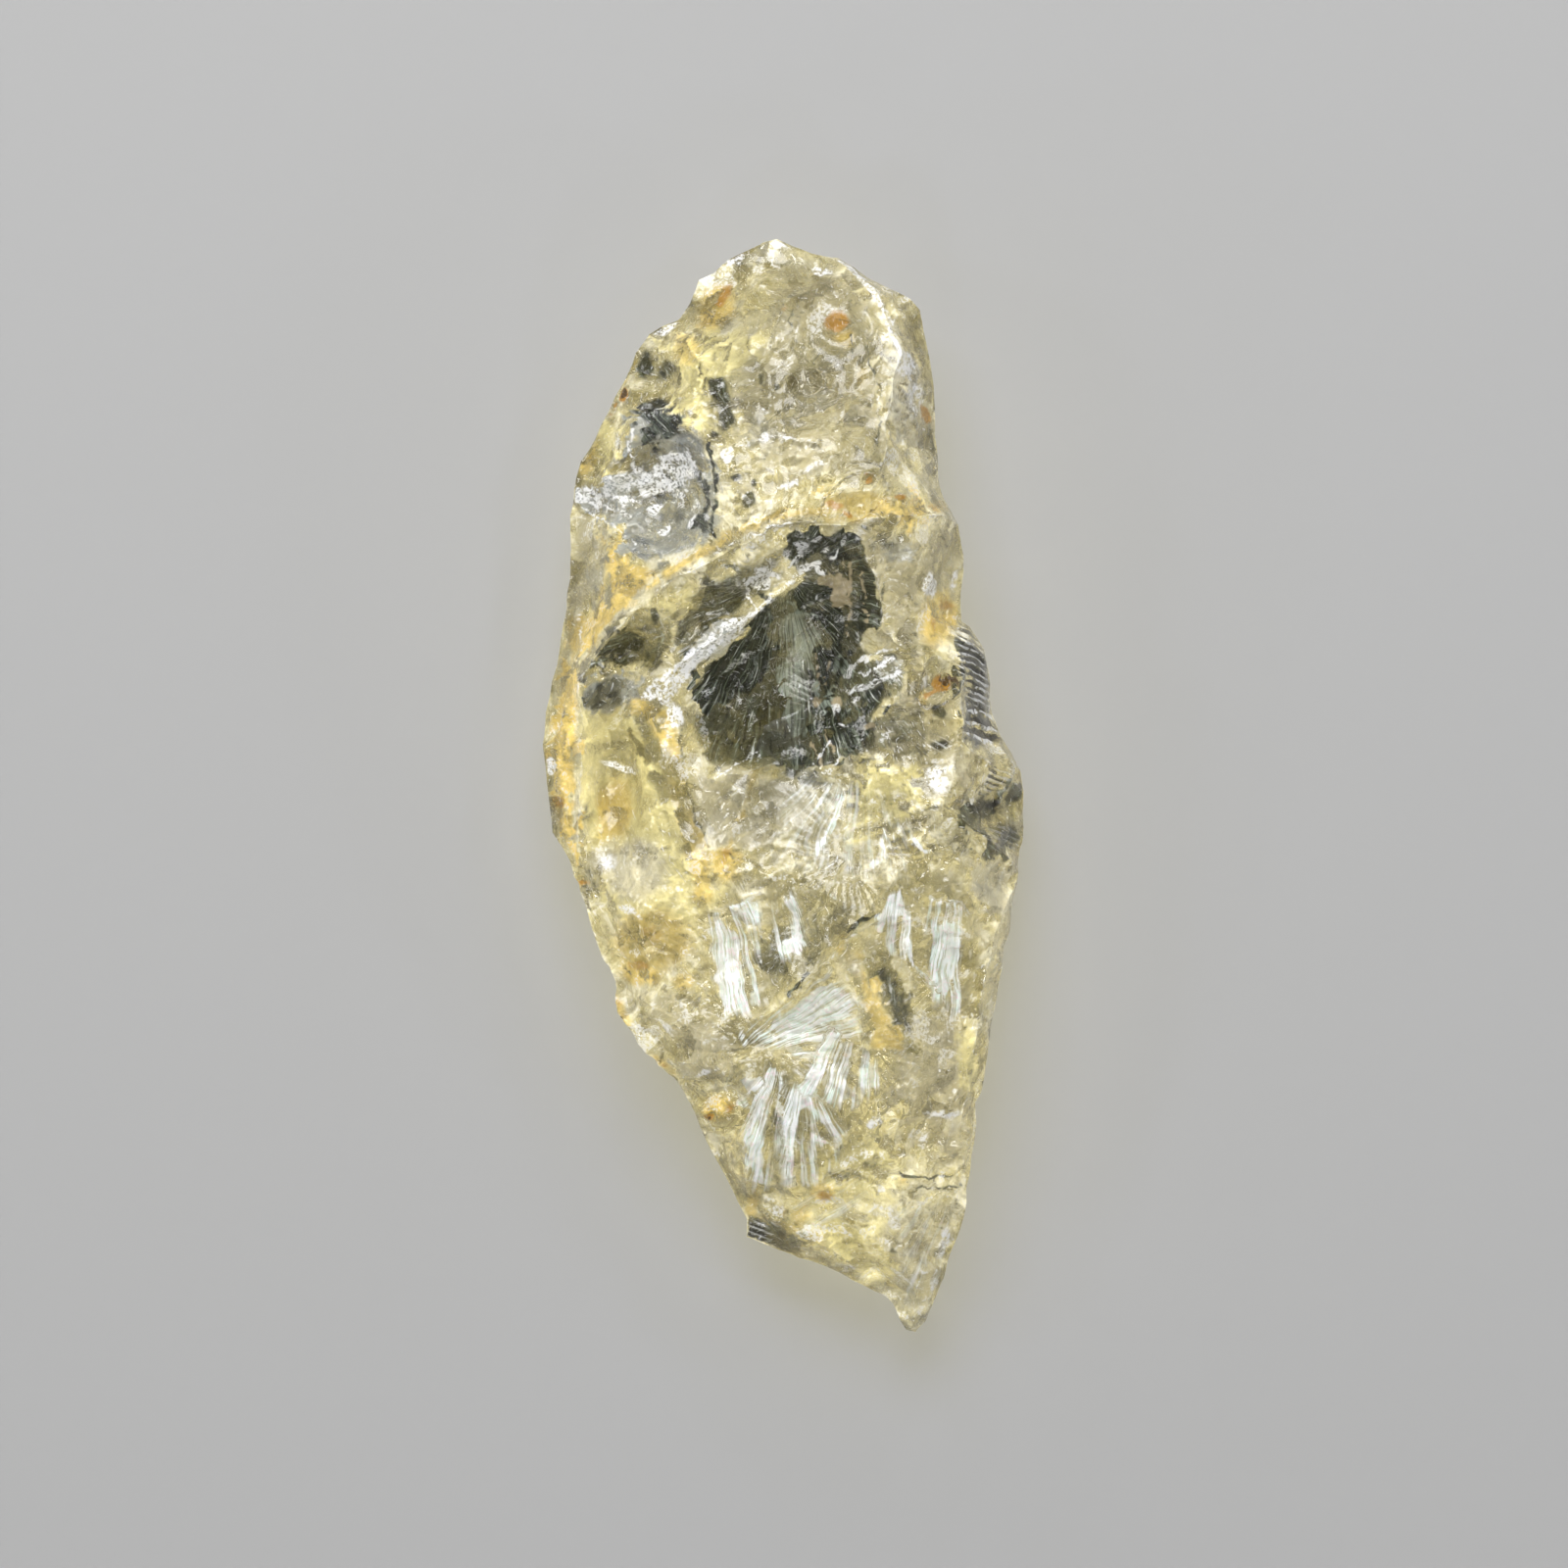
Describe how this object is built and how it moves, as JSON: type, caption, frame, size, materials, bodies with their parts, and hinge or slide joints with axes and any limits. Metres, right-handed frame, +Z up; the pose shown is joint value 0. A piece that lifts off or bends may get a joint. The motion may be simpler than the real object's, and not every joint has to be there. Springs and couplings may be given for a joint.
{
  "type": "rough quartz crystal",
  "caption": "Rough broken piece of clear straw-yellow quartz with conchoidal hollows and sharp ridges, lying on its flat back.",
  "frame": {"origin": "centre of the bounding box in X and Y, on the surface the crystal rests on", "axes": "+Z up through the ridged front face, +Y along the length towards the blunt dimpled end, the pointed toe at -Y"},
  "size_m": [0.0355, 0.0799, 0.021],
  "materials": {
    "quartz": "clear pale straw yellow, part glassy and part matte, with rusty stains"
  },
  "bodies": {
    "root": {"quartz_crystal": "quartz"}
  },
  "joints": []
}
